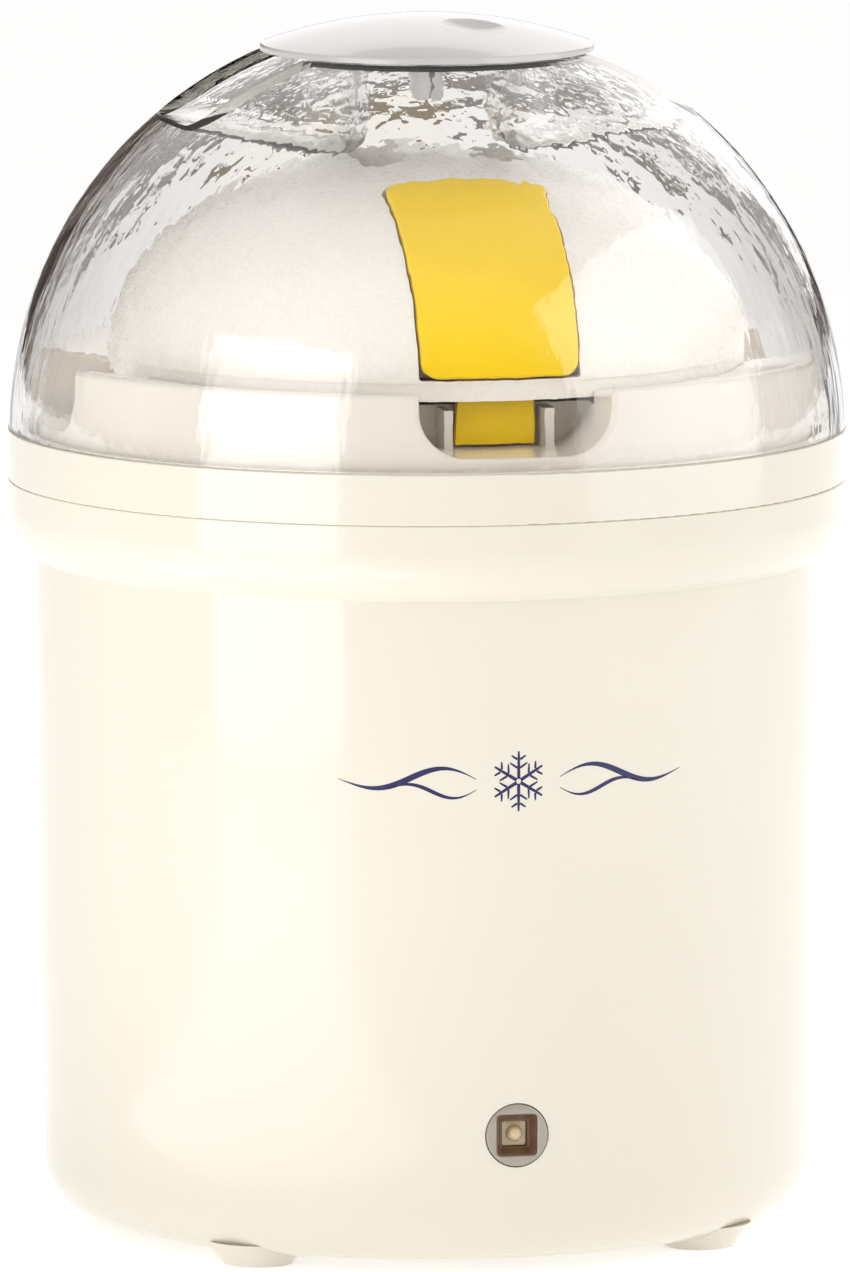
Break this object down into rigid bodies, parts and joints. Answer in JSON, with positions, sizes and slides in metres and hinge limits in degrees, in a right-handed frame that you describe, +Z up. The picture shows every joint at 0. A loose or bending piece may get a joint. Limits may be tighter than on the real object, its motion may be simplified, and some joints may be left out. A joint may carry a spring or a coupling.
{
  "type": "ice cream maker",
  "caption": "Countertop ice cream maker: ivory tub housing with a freezer bowl, clip-on motor unit with a yellow latch, and a clear dome with a white cap.",
  "frame": {"origin": "floor point on the axis of the housing, under the feet", "axes": "+Z up along the axis of the housing, front with the indicator lamp towards -Y, power inlet towards +X"},
  "size_m": [0.175, 0.175, 0.2536],
  "materials": {
    "ivory_plastic": "glossy moulded ivory plastic",
    "well_plastic": "moulded plastic",
    "screw_steel": "zinc plated steel",
    "lens_plastic": "clear smoked lens plastic",
    "reflector_plastic": "dark brown moulded plastic",
    "led_resin": "cast resin lamp chip",
    "board_laminate": "circuit board laminate",
    "contact_brass": "bright brass",
    "transformer_steel": "varnished laminations",
    "lead_rubber": "insulated lead",
    "bowl_plastic": "freezer bowl outer shell",
    "bowl_aluminium": "satin aluminium",
    "coolant": "sealed cooling gel",
    "lid_plastic": "glossy moulded ivory plastic",
    "seal_rubber": "soft seal",
    "bush_bronze": "sintered bronze",
    "clip_steel": "spring steel",
    "paddle_plastic": "food grade plastic",
    "cover_plastic": "satin gloss ivory plastic",
    "chassis_plastic": "moulded plastic",
    "motor_steel": "plated steel can",
    "end_cap_plastic": "black moulded plastic",
    "shaft_steel": "ground steel",
    "spring_steel": "spring wire",
    "gear_plastic": "white acetal",
    "pinion_brass": "machined brass",
    "latch_yellow": "glossy yellow plastic",
    "clear_plastic": "clear moulded plastic",
    "cap_white": "glossy white plastic"
  },
  "bodies": {
    "base": {"housing": "ivory_plastic", "collar_ring": "ivory_plastic", "bowl_well": "well_plastic", "base_plate": "ivory_plastic", "base_screws": "screw_steel", "feet": "ivory_plastic", "lamp_lens": "lens_plastic", "lamp_reflector": "reflector_plastic", "lamp_led": "led_resin", "lamp_board": "board_laminate", "power_inlet": "ivory_plastic", "inlet_pins": "contact_brass", "power_board": "board_laminate", "transformer": "transformer_steel", "riser_lead": "lead_rubber", "contact_block": "ivory_plastic", "contact_pins": "contact_brass"},
    "freezer_bowl": {"bowl_shell": "bowl_plastic", "bowl_liner": "bowl_aluminium", "bowl_gel": "coolant"},
    "lid": {"lid_ring": "lid_plastic", "lid_seal": "seal_rubber", "lid_bush": "bush_bronze"},
    "paddle": {"paddle": "paddle_plastic", "paddle_clip": "clip_steel"},
    "motor_unit": {"motor_cover": "cover_plastic", "motor_chassis": "chassis_plastic", "gearbox_plate": "chassis_plastic", "motor_can": "motor_steel", "motor_end_cap": "end_cap_plastic", "motor_screws": "screw_steel", "gearbox_screws": "screw_steel", "output_bush": "bush_bronze", "idler_axle": "shaft_steel", "latch_pins": "shaft_steel", "latch_springs": "spring_steel", "contact_arm": "lid_plastic", "contact_sockets": "contact_brass"},
    "output_drive": {"output_gear": "gear_plastic", "output_shaft": "shaft_steel"},
    "idler": {"idler_gear": "gear_plastic"},
    "motor_rotor": {"motor_pinion": "pinion_brass", "motor_shaft": "shaft_steel"},
    "front_latch": {"front_latch": "latch_yellow"},
    "rear_latch": {"rear_latch": "latch_yellow"},
    "dome": {"splash_dome": "clear_plastic"},
    "cap": {"top_cap": "cap_white"}
  },
  "joints": [
    {"name": "bowl_lift", "type": "slide", "parent": "base", "child": "freezer_bowl", "axis": [0, 0, 1], "range_m": [0, 0.16]},
    {"name": "lid_lift", "type": "slide", "parent": "freezer_bowl", "child": "lid", "axis": [0, 0, 1], "range_m": [0, 0.14]},
    {"name": "paddle_spin", "type": "hinge", "parent": "lid", "child": "paddle", "pos_m": [0, 0, 0.11], "axis": [0, 0, 1], "continuous": true},
    {"name": "motor_unit_lift", "type": "slide", "parent": "lid", "child": "motor_unit", "axis": [0, 0, 1], "range_m": [0, 0.06]},
    {"name": "output_spin", "type": "hinge", "parent": "motor_unit", "child": "output_drive", "pos_m": [0, 0, 0.175], "axis": [0, 0, 1], "continuous": true},
    {"name": "idler_spin", "type": "hinge", "parent": "motor_unit", "child": "idler", "pos_m": [0.02475, 0.02475, 0.178], "axis": [0, 0, 1], "continuous": true},
    {"name": "motor_spin", "type": "hinge", "parent": "motor_unit", "child": "motor_rotor", "pos_m": [-0.00344, 0.01449, 0.181], "axis": [0, 0, 1], "continuous": true},
    {"name": "front_latch_press", "type": "hinge", "parent": "motor_unit", "child": "front_latch", "pos_m": [0, -0.044, 0.203], "axis": [-1, 0, 0], "range_deg": [0, 4], "stiffness_Nm_per_rad": 0.6, "springref_deg": -11.46},
    {"name": "rear_latch_press", "type": "hinge", "parent": "motor_unit", "child": "rear_latch", "pos_m": [0, 0.044, 0.203], "axis": [1, 0, 0], "range_deg": [0, 4], "stiffness_Nm_per_rad": 0.6, "springref_deg": -11.46},
    {"name": "dome_lift", "type": "slide", "parent": "motor_unit", "child": "dome", "axis": [0, 0, 1], "range_m": [0, 0.1]},
    {"name": "cap_turn", "type": "hinge", "parent": "dome", "child": "cap", "pos_m": [0, 0, 0.246], "axis": [0, 0, 1], "continuous": true}
  ],
  "couplings": [
    {"joint": "output_spin", "follows": "paddle_spin", "ratio": 1},
    {"joint": "idler_spin", "follows": "paddle_spin", "ratio": -3.6667},
    {"joint": "motor_spin", "follows": "paddle_spin", "ratio": 11}
  ]
}
